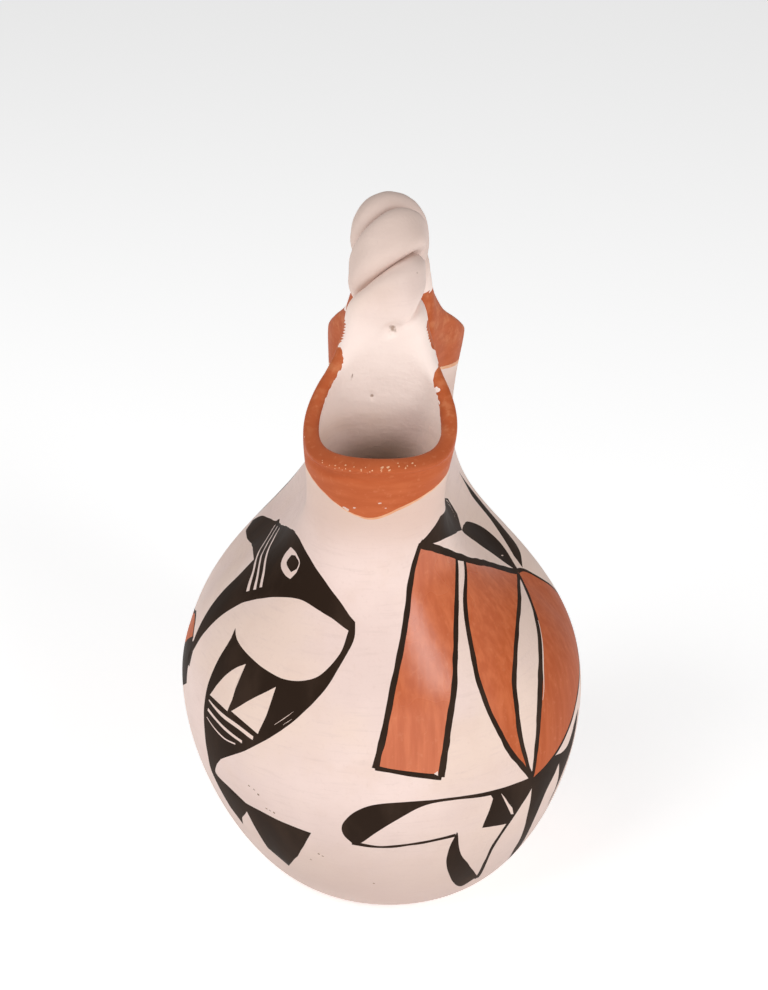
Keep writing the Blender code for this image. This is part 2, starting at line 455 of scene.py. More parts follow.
def close_discs(model):
    """The flat foot and the flat floor inside, as rings that shrink to a point."""
    for low, high, slot in ((-0.001, 0.001, SLIP), (WALL - 0.001, WALL + 0.001, CLAY)):
        loop = [e for e in model.edges if e.is_boundary and low < e.verts[0].co.z < high]
        ring = {v for e in loop for v in e.verts}
        ordered = sorted(ring, key=lambda v: math.atan2(v.co.y, v.co.x))
        middle = Vector((0.0, 0.0, sum(v.co.z for v in ordered) / len(ordered)))
        rows = [ordered]
        for step in range(1, DISC_RINGS):
            share = 1.0 - step / DISC_RINGS
            rows.append([model.verts.new(middle.lerp(v.co, share)) for v in ordered])
        count = len(ordered)
        for row, following in zip(rows, rows[1:]):
            for i in range(count):
                j = (i + 1) % count
                model.faces.new((row[i], row[j], following[j], following[i])).material_index = slot
        tip = model.verts.new(middle)
        for i in range(count):
            model.faces.new((rows[-1][i], rows[-1][(i + 1) % count], tip)).material_index = slot


def smooth_union(first, second, reach):
    """Two signed distances as one, rounded where they are within reach of each other."""
    overlap = np.maximum(reach - np.abs(first - second), 0.0)
    return np.minimum(first, second) - overlap**2 / (4.0 * reach)


def round_saddle(places, inside):
    """Rounds the crease where the halves meet, outside and inside."""
    z = places[:, 2]
    near_seam = (np.abs(places[:, 1]) < SADDLE_ZONE) & (z > LEAN_START + 2 * MM) & (z < NECK_HEIGHT - MM)
    outer_z, outer_r = wall.outer_heights, wall.radii[: wall.outside]
    inner_z, inner_r = wall.heights[wall.outside :][::-1], wall.radii[wall.outside :][::-1]
    order = np.argsort(inner_z)
    for chosen, heights, radii, reach in (
        (near_seam & ~inside, outer_z, outer_r, SADDLE_BLEND),
        (near_seam & inside, inner_z[order], inner_r[order], SADDLE_BLEND / 2.0),
    ):
        spots = places[chosen]

        def field(spot):
            height = spot[:, 2]
            radius = np.interp(height, heights, radii)
            across = spot[:, 0] - sway(height)
            lean = spout_lean(height)
            squeeze = radius / (radius + saddle_pull(height))
            near = np.hypot(across, (spot[:, 1] + lean) * np.where(spot[:, 1] > -lean, squeeze, 1.0)) - radius
            far = np.hypot(across, (spot[:, 1] - lean) * np.where(spot[:, 1] < lean, squeeze, 1.0)) - radius
            valley = radius - np.sqrt(np.maximum(radius**2 - (lean * squeeze) ** 2, 0.0))
            return smooth_union(near, far, np.clip(SADDLE_FILL * valley, 1e-6, reach))

        for _ in range(SADDLE_PASSES):
            value = field(spots)
            slope = np.stack([(field(spots + 1e-5 * axis) - value) / 1e-5 for axis in np.eye(3)], axis=1)
            spots = spots - (value / np.maximum((slope**2).sum(axis=1), 0.05))[:, None] * slope
        places[chosen] = spots
    return places


def handle_line():
    """(y, height) evenly along the handle's middle, from one buried tail over the arch to the other."""
    flare = outer_arcs(ARCH_STEPS)[2]

    def back_wall(point):
        y = point[0] + saddle_pull(point[1]) + back_flare(point[1], 1.0) - WALL / 2.0 - spout_lean(point[1])
        return np.array((y, point[1] + climb(point[1], 1.0)))

    tail = np.array([back_wall(point) for point in flare])
    root, below = tail[-1], tail[-1 - len(flare) // TAIL_STEPS]
    apex = np.array((0.0, RIM_HEIGHT + HANDLE_RISE))
    upright = ARCH_FULLNESS * (apex[1] - root[1]) * (root - below) / np.linalg.norm(root - below)
    level = np.array((ARCH_FULLNESS * root[0], 0.0))
    arch = bezier(root, root + upright, apex + level, apex, ARCH_STEPS)
    half = np.concatenate((tail, arch[1:]))
    whole = np.concatenate((half, half[-2::-1] * (-1.0, 1.0)))
    lengths = np.concatenate(((0.0,), np.cumsum(np.linalg.norm(np.diff(whole, axis=0), axis=1))))
    tail_length = lengths[len(tail) - 1]
    spaced = np.linspace(0.0, lengths[-1], int(lengths[-1] / HANDLE_STEP) + 1)
    line = np.stack([np.interp(spaced, lengths, whole[:, k]) for k in (0, 1)], axis=1)
    return line, spaced, tail_length


def coil_reach(angle):
    """Distance from the handle's middle to the surface of two pressed coils, at this angle from the first."""
    c = np.abs(np.cos(angle))
    s = np.sin(angle)
    curve = (c / COIL_DEPTH) ** 2 + (s / COIL_BREADTH) ** 2
    pull = COIL_OFFSET * c / COIL_DEPTH**2
    spare = 1.0 - (COIL_OFFSET / COIL_DEPTH) ** 2
    return (pull + np.sqrt(pull**2 + curve * spare)) / curve


def make_handle():
    """The two twisted coils as one closed tube, with flattened tails inside the back walls."""
    line, lengths, tail = handle_line()
    whole = lengths[-1]
    along = np.gradient(line, axis=0)
    along /= np.linalg.norm(along, axis=1)[:, None]
    full = COIL_OFFSET + COIL_DEPTH
    angles = 2.0 * np.pi * np.arange(HANDLE_SIDES) / HANDLE_SIDES
    model = bmesh.new()
    rows, slots = [], []
    for middle, way, length in zip(line, along, lengths):
        from_end = min(length, whole - length)
        share = np.clip((length - tail) / (whole - 2.0 * tail), 0.0, 1.0)
        from_top = share - 0.5
        eased = from_top * (1.0 + TWIST_EASE * (1.0 - 4.0 * from_top**2))
        turn = TWIST_AT_TOP + 2.0 * np.pi * TWIST_TURNS * eased
        twisted = smoothstep((from_end - tail) / ROOT_LENGTH)
        sunk = smoothstep(1.0 - from_end / (tail - ROOT_DROP))
        breadth = blend(blend(ROOT_BREADTH, 1.0, twisted), TAIL_BREADTH / full, sunk)
        depth = blend(blend(ROOT_DEPTH, 1.0, twisted), TAIL_DEPTH / full, sunk)
        cosines, sines = np.cos(angles - turn), np.sin(angles - turn)
        squared = np.abs(cosines) ** ROOT_SQUARENESS + np.abs(sines) ** ROOT_SQUARENESS
        strap = full / squared ** (1.0 / ROOT_SQUARENESS)
        pressed = coil_reach(angles) - CREASE_DEPTH * np.exp(-((np.cos(angles) / CREASE_WIDTH) ** 2))
        reach = blend(strap, pressed, twisted)
        across = reach * breadth * cosines
        outward = reach * depth * sines
        x = sway(RIM_HEIGHT) + across
        y = middle[0] - way[1] * outward
        z = middle[1] + way[0] * outward
        rows.append([model.verts.new(place) for place in zip(x, y, z)])
        ragged = z + ROOT_RAGGED * uneven(middle[1] * 300.0, 0.0, 5.0)
        outside = (outward < 0.0) | (np.abs(across) > ROOT_EDGE)
        painted = outside & (ragged > ROOT_ORANGE[0] - ROOT_SAG * across**2) & (ragged < ROOT_ORANGE[1])
        bare = ~outside & (from_end < tail)
        slots.append(np.where(painted, ORANGE, np.where(bare, CLAY, SLIP)))
    for row, following, slot in zip(rows, rows[1:], slots):
        for i in range(HANDLE_SIDES):
            j = (i + 1) % HANDLE_SIDES
            face = model.faces.new((row[i], row[j], following[j], following[i]))
            face.material_index = int(slot[i])
    for row in (rows[0], rows[-1]):
        tip = model.verts.new(sum((v.co for v in row), Vector()) / HANDLE_SIDES)
        for i in range(HANDLE_SIDES):
            model.faces.new((row[i], row[(i + 1) % HANDLE_SIDES], tip))
    return model


def linked(name, data):
    piece = bpy.data.objects.new(name, data)
    bpy.context.scene.collection.objects.link(piece)
    return piece


def as_object(name, model):
    bmesh.ops.recalc_face_normals(model, faces=model.faces)
    mesh = bpy.data.meshes.new(name)
    model.to_mesh(mesh)
    model.free()
    return linked(name, mesh)


def corners_of(piece):
    places = np.zeros(len(piece.data.vertices) * 3)
    piece.data.vertices.foreach_get("co", places)
    return places.reshape(-1, 3)


def set_corners(piece, places):
    piece.data.vertices.foreach_set("co", places.ravel())
    piece.data.update()


def surface_tree(piece):
    model = bmesh.new()
    model.from_mesh(piece.data)
    tree = BVHTree.FromBMesh(model)
    model.free()
    return tree


def signed(tree, place):
    spot, normal, _, distance = tree.find_nearest(place)
    away = place - spot
    sign = 1.0 if away.dot(normal) >= 0.0 else -1.0
    direction = away * (sign / distance) if distance > 1e-6 else normal
    return sign * distance, direction


def join_handle(vessel, handle):
    """One fired piece: the union of both, with the joins drawn out into smooth fillets."""
    vessel_tree, handle_tree = surface_tree(vessel), surface_tree(handle)
    union = vessel.modifiers.new("Handle", "BOOLEAN")
    union.operation = "UNION"
    union.solver = "EXACT"
    union.object = handle
    whole = bpy.data.meshes.new_from_object(vessel.evaluated_get(bpy.context.evaluated_depsgraph_get()))
    vessel.modifiers.clear()
    vessel.data = whole
    bpy.data.objects.remove(handle)
    places = corners_of(vessel)
    near_root = (places[:, 2] > NECK_HEIGHT - ROOT_ZONE) & (np.abs(places[:, 1]) < HANDLE_ZONE)
    for i in np.flatnonzero(near_root):
        place = Vector(places[i])
        for _ in range(ROOT_PASSES):
            first, first_way = signed(vessel_tree, place)
            second, second_way = signed(handle_tree, place)
            overlap = max(ROOT_BLEND - abs(first - second), 0.0) / ROOT_BLEND
            if overlap == 0.0:
                break
            value = min(first, second) - overlap**2 * ROOT_BLEND / 4.0
            share = overlap / 2.0
            nearer, further = (first_way, second_way) if first < second else (second_way, first_way)
            slope = (1.0 - share) * nearer + share * further
            place = place - slope * (value / max(slope.length_squared, 0.15))
        places[i] = place
    set_corners(vessel, places)
    return vessel


def dent_handle(piece):
    """The slight unevenness of a handle rolled and twisted by hand, fading out towards its roots."""
    places = corners_of(piece)
    normals = np.zeros(len(places) * 3)
    piece.data.vertices.foreach_get("normal", normals)
    strength = smoothstep((places[:, 2] - RIM_HEIGHT) / DENT_FADE) * (np.abs(places[:, 1]) < HANDLE_ZONE)
    for i in np.flatnonzero(strength > 0.0):
        place = Vector(places[i]) * DENT_SCALE
        dent = noise.noise(place) + 0.5 * noise.noise(place * 2.6)
        places[i] += normals[3 * i : 3 * i + 3] * (strength[i] * DENT_DEPTH * dent)
    for middle, size in PITS:
        away = np.linalg.norm(places - middle, axis=1) / (size * 1.2)
        sunk = np.maximum(1.0 - away**2, 0.0) * size * PIT_SHARE
        places -= normals.reshape(-1, 3) * sunk[:, None]
    set_corners(piece, places)


def fold_rims(places, rises):
    """The slack fold along each rim's front: a ridge under the lip, with a faint hollow below it."""
    z = places[:, 2]
    side = np.where(places[:, 1] < 0.0, -1.0, 1.0)
    across, ahead = places[:, 0] - sway(z), side * places[:, 1] - spout_lean(np.minimum(z, RIM_HEIGHT))
    distance = np.maximum(np.hypot(across, ahead), 1e-4)
    front = smoothstep(ahead / distance * 1.6 - 0.3) * (np.abs(rises - wall.lip) < FOLD_REACH)
    wander = np.array([uneven(x * 90.0, 0.0, 2.0) for x in places[:, 0]])
    ridge = np.exp(-(((rises - wall.lip - 0.012 * wander) / FOLD_WIDTH) ** 2))
    hollow = np.exp(-(((rises - wall.lip + 2.2 * FOLD_WIDTH) / FOLD_WIDTH) ** 2))
    shift = front * FOLD_HEIGHT * (ridge * (1.0 + 0.5 * wander) - 0.7 * hollow)
    places[:, 0] += shift * across / distance
    places[:, 1] += shift * side * ahead / distance
    return places


def make_jar(design):
    """The vessel with the painted design: (slot, outline) pairs for each half, and their seams' rises."""
    near, far, seams = design
    model = both_halves([spread(near, seams), spread(far, seams)])
    close_discs(model)
    vessel = as_object("jar", model)
    rises = np.zeros(len(vessel.data.vertices))
    vessel.data.attributes["rise"].data.foreach_get("value", rises)
    set_corners(vessel, fold_rims(round_saddle(corners_of(vessel), rises > wall.lip_end), rises))
    return vessel


def curve(*places):
    """A smooth line through the places, with a point about every millimetre or degree."""
    knots = np.array(places, float)
    knots = np.concatenate(([2.0 * knots[0] - knots[1]], knots, [2.0 * knots[-1] - knots[-2]]))
    gaps = np.sqrt(np.linalg.norm(np.diff(knots, axis=0), axis=1))
    line = [knots[1:2]]
    for i in range(1, len(knots) - 2):
        before, start, end, after = knots[i - 1 : i + 3]
        last, this, following = gaps[i - 1 : i + 2]
        leave = (start - before) / last - (end - before) / (last + this) + (end - start) / this
        reach = (end - start) / this - (after - start) / (this + following) + (after - end) / following
        steps = max(int(round(np.linalg.norm(end - start) / PAINT_STEP)), 1)
        line.append(bezier(start, start + this * leave / 3.0, end - this * reach / 3.0, end, steps)[1:])
    return np.concatenate(line)


def straight(*places):
    """Straight lines from place to place, with a point about every millimetre or degree."""
    line = [np.array(places[:1], float)]
    for start, end in zip(np.array(places[:-1], float), np.array(places[1:], float)):
        steps = max(int(round(np.linalg.norm(end - start) / PAINT_STEP)), 1)
        line.append(start + (end - start) * (np.arange(1, steps + 1) / steps)[:, None])
    return np.concatenate(line)


def area(slot, *lines):
    """A painted area inside lines that follow one another round it."""
    outline = np.concatenate(lines)
    apart = np.linalg.norm(outline - np.roll(outline, 1, axis=0), axis=1) > CLOSEST_POINTS
    return slot, outline[apart]


def stroke(slot, line, *widths):
    """A brush stroke along a line, with its widths in millimetres spaced evenly along it."""
    azimuth, height = np.radians(line[:, 0]), line[:, 1] * MM
    rise = wall.rise_at(height)
    around = wall.polar(np.pi / 2.0 - np.abs(np.pi / 2.0 - np.abs(azimuth)), rise)[1] / MM
    up = np.gradient(wall.rise_at(wall.outer_heights), wall.outer_heights)
    slope = np.interp(height, wall.outer_heights, up) * wall.radius(rise)
    scale = np.stack((np.radians(around), slope), axis=1)
    along = np.gradient(line, axis=0) * scale
    along /= np.linalg.norm(along, axis=1)[:, None]
    lengths = np.linspace(0.0, 1.0, len(line))
    breadth = np.interp(lengths, np.linspace(0.0, 1.0, len(widths)), widths)
    wobble = [uneven(x * 0.25, y * 0.25, 7.0) for x, y in line]
    breadth = breadth * (1.0 + BRUSH_WOBBLE * np.array(wobble))
    side = np.stack((-along[:, 1], along[:, 0]), axis=1) / scale * breadth[:, None] / 2.0
    return slot, np.concatenate((line + side, (line - side)[::-1]))


def unsteady(outline):
    """The outline as a hand draws it, a little off everywhere."""
    shift = [noise.noise_vector(Vector((x * HAND_SCALE, y * HAND_SCALE, 3.0))) for x, y in outline]
    return outline + HAND_SHIFT * np.array([(v.x, v.y) for v in shift])


def on_half(shapes, direction):
    """The shapes on the half facing this way, as (turn, rise), and the rises where they cross its edge."""
    found, seams = [], []
    for slot, outline in shapes:
        outline = unsteady(outline)
        for whole_turn in (-360.0, 0.0, 360.0):
            local = outline - (direction + whole_turn, 0.0)
            if not (np.abs(local[:, 0]) < 90.0).any():
                continue
            places = []
            for (x, y), (next_x, next_y) in zip(local, np.roll(local, -1, axis=0)):
                if abs(abs(x) - 90.0) > EDGE_CLEARANCE:
                    rise = wall.rise_at(y * MM)
                    turn = wall.polar(np.radians(np.clip(x, -90.0, 90.0)), rise)[0]
                    places.append((turn + np.radians(x - np.clip(x, -90.0, 90.0)), rise))
                for edge in (-90.0, 90.0):
                    if (x < edge) != (next_x < edge):
                        share = (edge - x) / (next_x - x)
                        rise = wall.rise_at((y + share * (next_y - y)) * MM)
                        places.append((math.copysign(wall.widest_turn(rise), edge), rise))
                        seams.append(rise)
            found.append((slot, np.array(places)))
    return found, seams


# The painted design. A place is (degrees round the jar from its front, millimetres up before the rims tilt).


def bird():
    """The black bird on the left, head up, with white patches left out of it."""
    head = (
        curve((-117, 118), (-113.5, 122), (-105.3, 125), (-92, 128)),
        curve((-91, 129), (-81.5, 130.3), (-62, 135), (-47.2, 139), (-39.2, 141.5)),
        curve((-36, 142.5), (-28.8, 142.8), (-22.4, 140.4), (-15.8, 136.1), (-8.8, 130.5), (-3.5, 125.1)),
    )
    breast = curve((-1.7, 123.4), (-1.7, 118.9), (-4, 113.7), (-12, 100.2), (-25, 84.4), (-35.5, 73.8),
                   (-47, 63.7))
    tail = (
        curve((-47, 63.7), (-50.9, 58.2), (-52.3, 54.3), (-46.6, 52.6)),
        curve((-39.5, 49.7), (-31.9, 49.2), (-17.5, 47)),
        straight((-19, 43.5), (-24.9, 32), (-32.1, 22.1)),
        straight((-38.3, 28.3), (-40.5, 45.2), (-45.2, 38.9), (-47.2, 34.5)),
    )
    back = curve((-50.9, 39.5), (-55.5, 52.3), (-54.9, 62.1), (-54.4, 75.2), (-52.4, 89), (-45.4, 107.7))
    belly = curve((-45.1, 110.8), (-43, 108.9), (-35.3, 106.2), (-22.3, 103.7), (-13.7, 105.7), (-5.8, 114.1),
                  (-3.7, 120.9))
    throat = curve((-3.7, 120.9), (-10.5, 124.3), (-21, 126.8), (-31.8, 124.4), (-48.6, 116.5),
                   (-59.2, 105.7), (-66.6, 92.5))
    wing = (
        straight((-67.5, 86), (-69.5, 86)),
        curve((-68.9, 94.2), (-68, 101), (-66.9, 111.7), (-63.9, 119.5), (-63.5, 124.1)),
        curve((-80.7, 121.5), (-98, 118.4), (-110.5, 116.6)),
    )
    return [
        area(BLACK, *head, breast, *tail, back, belly, throat, *wing),
        stroke(SLIP, curve((-86.7, 128.1), (-67.6, 125.6), (-53.6, 124), (-48.4, 120.3)), 0.5, 0.7, 0.9, 2),
        stroke(SLIP, curve((-80.2, 129.6), (-61.7, 127.6), (-48.6, 125.2), (-44.8, 122.2)), 0.5, 0.7, 0.9,
               1.6),
        stroke(SLIP, curve((-72.3, 131.4), (-58.1, 130), (-45.9, 127.3), (-41.9, 123.8)), 0.5, 0.9, 1.1, 1.5),
        area(SLIP, curve((-34.2, 138.3), (-36.6, 135), (-36.4, 132.8), (-32, 131.2), (-28, 131.1)),
             curve((-25.9, 133.5), (-25.5, 136.7), (-29, 138.6), (-33, 138.6))),
        area(BLACK, curve((-31.5, 137), (-33.1, 134.2), (-28.6, 132.9)),
             curve((-26.2, 134.6), (-25.9, 136.6), (-29, 137.8))),
        area(SLIP, curve((-36.3, 103.5), (-39.2, 101.4), (-44.7, 95.6), (-51, 85.9)),
             straight((-42.6, 84.7), (-40.5, 89.7))),
        area(SLIP, curve((-24.7, 100.4), (-33.5, 92.9), (-40.9, 85.6)),
             straight((-30.9, 82), (-28.7, 88), (-26.3, 95.1))),
        stroke(SLIP, curve((-51.4, 83.8), (-44.8, 82.1), (-38.1, 81.2), (-32.7, 79.7)), 0.5, 1.5, 1.7, 1.5),
        stroke(SLIP, curve((-51.8, 80.2), (-45.8, 78.1), (-40.7, 76.8), (-36.9, 76.2)), 1.2, 1.2, 1.2),
        stroke(SLIP, curve((-52.5, 76.7), (-48.4, 74.6), (-43.9, 73.5), (-39.7, 73.9)), 0.4, 0.6, 0.5),
        stroke(SLIP, straight((-25.5, 87.4), (-22.6, 90.5), (-19.5, 93.9)), 0.08, 0.20, 0.08),
        stroke(SLIP, straight((-22.7, 88.4), (-19.9, 91.4)), 0.06, 0.14, 0.06),
    ]


def panels():
    """The orange panel and two petals on the right, with black borders, and slip left between them."""
    top = curve((17.6, 147.2), (28.6, 141), (47.9, 131.4), (70.8, 122), (88.7, 112.7))
    right_top = curve((88.7, 112.7), (94.6, 110.8), (98, 106.6), (102.4, 100.4), (105.4, 95.5), (107, 93))
    left = curve((18.1, 147.1), (16.6, 140), (14.2, 123.3), (8.4, 103.8), (3.6, 84), (2.2, 77))
    foot = curve((2.2, 77.3), (11.2, 74.6), (19.7, 71.9))
    right = curve((19.5, 72), (22, 88.8), (25.5, 101.1), (30.8, 117.1), (35.5, 126.9), (40, 134.6))
    petal_left = curve((46.4, 131.9), (37.7, 122.8), (34.4, 110.4), (33.9, 96), (39.8, 76), (49.1, 58.9))
    petal_right = curve((88, 112.5), (71.3, 112.7), (55.7, 108.4), (46.2, 98.5), (43.8, 84.4), (47.1, 65.1),
                        (49.6, 58.9))
    side_left = curve((88, 112.5), (74, 108), (62, 99.8), (54.4, 89.7), (51.4, 76.8), (49.4, 58.9))
    side_right = curve((50.2, 58.4), (60.3, 61.6), (70.9, 68), (78.8, 74.2), (90, 80.8), (107, 93))
    gap = curve((70, 105), (60, 96), (54.6, 86))
    return [
        area(ORANGE, curve((17.6, 147.2), (28.6, 141), (40, 135)), right[::-1], foot[::-1], left[::-1]),
        area(ORANGE, curve((46.4, 131.9), (70.8, 122), (88, 112.5)), petal_right, petal_left[::-1]),
        area(ORANGE, right_top, side_right[::-1], side_left[::-1]),
        stroke(BLACK, left, 1.7, 2, 1.9, 2, 2.2),
        stroke(BLACK, foot, 1.8, 1.7, 2.2),
        stroke(BLACK, right, 2.4, 2.3, 1.9, 1.9, 1.7),
        stroke(BLACK, petal_left, 1.9, 1.8, 1.7, 2, 1.8),
        stroke(BLACK, petal_right, 1.4, 2, 2.1, 2, 1.2),
        stroke(BLACK, side_left, 1.6, 2, 3, 2.4, 1.6),
        stroke(BLACK, side_right, 1, 1.6, 1.4, 1.2, 1.2),
        stroke(BLACK, top, 2.6, 2.2, 2.2, 2.4, 2.6),
        stroke(BLACK, right_top, 2, 1.2, 1.2, 1.2),
        stroke(SLIP, gap, 0.2, 0.7, 0.2),
        area(SLIP, straight((17.6, 73.7), (18.7, 72.7), (18.7, 74.6))),
    ]


def crown():
    """The leaves that spring from the corners of the panels, up on the shoulder."""
    spike = straight((17.6, 147.2), (22.5, 150.4), (26.8, 153), (74.1, 142), (78.4, 138.7), (80.1, 135.6))
    return [
        area(BLACK, spike, straight((80.1, 135.6), (66.9, 133.9), (49.7, 138), (33.2, 142.9), (24.7, 144.7))),
        area(BLACK, curve((66.9, 133.9), (84, 131.5), (94.6, 129), (101.7, 124.7), (101.3, 119.8),
                          (91.2, 112.7)),
             curve((88.6, 113.5), (82.6, 122.2), (76.5, 127.4), (67.1, 133))),
        area(BLACK, curve((131, 141), (128.8, 134.2), (124.8, 127.1), (119.4, 121.4), (110, 113.8),
                          (95.5, 111.2)),
             curve((98.8, 114.4), (107.3, 118.8), (115.5, 124), (122, 131))),
        stroke(SLIP, curve((61, 144.6), (71, 140.8), (72, 137.4)), 0.08, 0.24, 0.08),
        stroke(SLIP, curve((63, 143.2), (69.5, 139.8), (69.3, 136.4)), 0.06, 0.18, 0.06),
        stroke(SLIP, straight((90.2, 117.9), (91.8, 117.4)), 0.35, 0.40, 0.30),
    ]


def stains():
    """Small brown specks on the slip."""
    places = ((-36.4, 59.3, 0.5), (-33.3, 57.2, 0.7), (-34.6, 58.6, 0.4), (-31.3, 52.2, 0.5),
              (-30.2, 51.9, 0.4), (-28.9, 51.7, 0.7), (-17.1, 36.8, 0.7), (-15.9, 36, 0.5),
              (-1.1, 23.5, 0.6), (-20.6, 32.4, 0.4))
    return [stroke(CLAY, straight((x, y), (x + 0.6, y - 0.3)), size, size) for x, y, size in places]


def flower():
    """The long black-and-white leaves below the panels."""
    upper = curve((49, 59.6), (36.5, 61.4), (19.1, 63.6), (3, 63.4), (-3.6, 60.1), (-7.9, 52.9), (-7.9, 49.2),
                  (-5.7, 45.3))
    inner = curve((-3.1, 45.7), (5.9, 55.3), (15.2, 61.9), (23, 62.1), (34.2, 59.8))
    bar = straight((34.2, 59.8), (35, 57.9), (33.5, 51.1), (32.4, 46.1), (36.7, 44.9), (41.4, 43.1))
    lower = curve((-5.7, 45.3), (2.2, 44.1), (13.6, 45.2), (24, 46.2))
    small = curve((24.3, 47.5), (22.3, 39), (23, 29.2), (27, 19), (33, 12.3), (36.5, 14.7), (38.6, 15.6))
    stem = curve((38.6, 14.5), (38.4, 32.8), (43.5, 45.5), (49.7, 55.2))
    black_leaf = (
        curve((49.8, 58), (56, 60), (60.3, 60.9), (64.5, 59.3), (68.9, 58.9), (71.4, 60.8), (74, 64.2)),
        curve((79, 67), (76, 54), (70.5, 45), (66, 34)),
        curve((67.2, 40.9), (66.8, 46.1), (63.8, 55.3)),
        curve((63.8, 55.3), (61.9, 51.8), (58.9, 47.2), (57.3, 38.6), (57.3, 30), (59, 18), (58, 12)),
        curve((53, 22.4), (52.9, 27.9), (51.1, 39.8), (50.2, 50.2), (49.8, 54.9)),
    )
    return [
        area(BLACK, upper, straight((-5.7, 45.3), (-3.1, 45.7)), inner, bar,
             straight((41.4, 43.1), (49.8, 55.2), (50.5, 58.5))),
        stroke(BLACK, lower, 1.8, 1.1, 1.2, 1.3, 1.5),
        area(BLACK, small, straight((38.6, 15.6), (35.6, 20)),
             curve((35.6, 20), (30.5, 28.3), (26.3, 36.8), (24.6, 47))),
        stroke(BLACK, stem, 1.9, 1.5, 1.7, 2),
        area(BLACK, *black_leaf),
        area(SLIP, straight((37.6, 59.2), (42.6, 50), (43.6, 46.5), (42.6, 47))),
    ]


def ring(slot, lower, upper):
    """A band right round a spout, between two lines of (degrees round it, rise) from -180 to 180 degrees."""
    edge = 180.0 + BAND_OVERRUN
    start = ((-edge, upper[0, 1]), (-edge, lower[0, 1]))
    end = ((edge, lower[-1, 1]), (edge, upper[-1, 1]))
    return slot, np.concatenate((start, lower, end, upper[::-1])) * (math.pi / 180.0, 1.0)


def calm(turns, start, fade):
    """1 round the front and 0 at the back, where both ends of a line have to meet."""
    return 1.0 - smoothstep((np.abs(turns) - start) / fade)


def past_lip(millimetres):
    return wall.lip + millimetres * MM / RIM_RADIUS


def rim_band():
    """The orange band round each rim, with its pale margin, worn spots, and the bare clay down inside,
    darkened with painted shade.
    """
    lower = curve((-180, 172), (-130, 172), (-85, 173.6), (-62, 172.7), (-45, 169.1), (-22, 163.1),
                  (0, 160.6), (26, 165.2), (60, 170.4), (90, 171.7), (130, 171.5), (180, 172))
    over = curve((-180, 0.3), (-160, 0.3), (-150, 2), (-138, 6.6), (-110, 8.2), (-60, 8), (0, 7.2), (50, 8.2),
                 (75, 10.6), (100, 10.4), (114, 8), (124, 7.4), (133, 2.5), (142, 0.3), (180, 0.3))
    lower[:, 1] += calm(lower[:, 0], 165.0, 10.0) * (unsteady(lower)[:, 1] - lower[:, 1])
    ragged = [uneven(x * 0.30, 0.0, 11.0) + 0.5 * uneven(x * 0.9, 4.0, 1.0) for x in over[:, 0]]
    over[:, 1] += calm(over[:, 0], 155.0, 6.0) * 0.8 * np.array(ragged)
    margin = lower.copy()
    waves = np.sin(np.radians(margin[:, 0]) * 3.0) * calm(margin[:, 0], 150.0, 20.0)
    margin[:, 1] -= BAND_MARGIN * (1.0 + 0.5 * waves)
    for line in (lower, margin):
        line[:, 1] = wall.rise_at(line[:, 1] * MM)
    over[:, 1] = past_lip(over[:, 1])
    inside = curve((-180.0, 0.0), (180.0, 0.0))
    past_end = inside + (0.0, wall.end + 1.0)
    inside[:, 1] = wall.lip_end + BARE_DEPTH * MM / RIM_RADIUS
    shapes = [ring(CLAY, inside, past_end), ring(WASH, margin, over), ring(ORANGE, lower, over)]
    for turn, rise, *form in (
        (-21.0, wall.rise_at(163.4 * MM), 2.8, 1.2, -0.5),
        (-14.0, wall.rise_at(164.6 * MM), 1.0, 0.7, 0.2),
        (6.0, wall.rise_at(167.6 * MM), 1.2, 0.7, 0.4),
        (11.0, wall.rise_at(165.0 * MM), 0.7, 0.5, 0.0),
        (119.0, past_lip(6.9), 3.0, 1.5, 0.9),
        (111.0, past_lip(7.9), 1.6, 0.9, 0.3),
    ):
        shapes.append(spot(SLIP, turn, rise, *form))
    for i in range(RUBS):
        turn = blend(*RUB_TURNS, (i + 3.0 * uneven(i * 1.37, 0.0, 0.0)) / RUBS)
        past = 0.6 + 2.6 * uneven(i * 2.31, 4.0, 0.0) + 0.6 * math.sin(math.radians(turn * 4.0))
        length = max(0.4 + 1.1 * uneven(i * 3.17, 8.0, 0.0), RUB_LEAST)
        shapes.append(spot(WASH, turn, past_lip(past), length, RUB_LEAST + 0.25 * length, 0.3))
    return shapes


def spot(slot, turn, rise, length, breadth, slant):
    """A small worn place on a rim, in degrees, rise and millimetres."""
    angles = np.radians(np.arange(0.0, 360.0, 30.0))
    rough = np.array([1.0 + 0.5 * uneven(turn + 2.0 * a, rise * 9.0, 5.0) for a in angles])
    across, up = rough * length / 2.0 * np.cos(angles), rough * breadth / 2.0 * np.sin(angles)
    x = across * math.cos(slant) - up * math.sin(slant)
    y = across * math.sin(slant) + up * math.cos(slant)
    return slot, np.stack((math.radians(turn) + x * MM / RIM_RADIUS, rise + y * MM / RIM_RADIUS), axis=1)


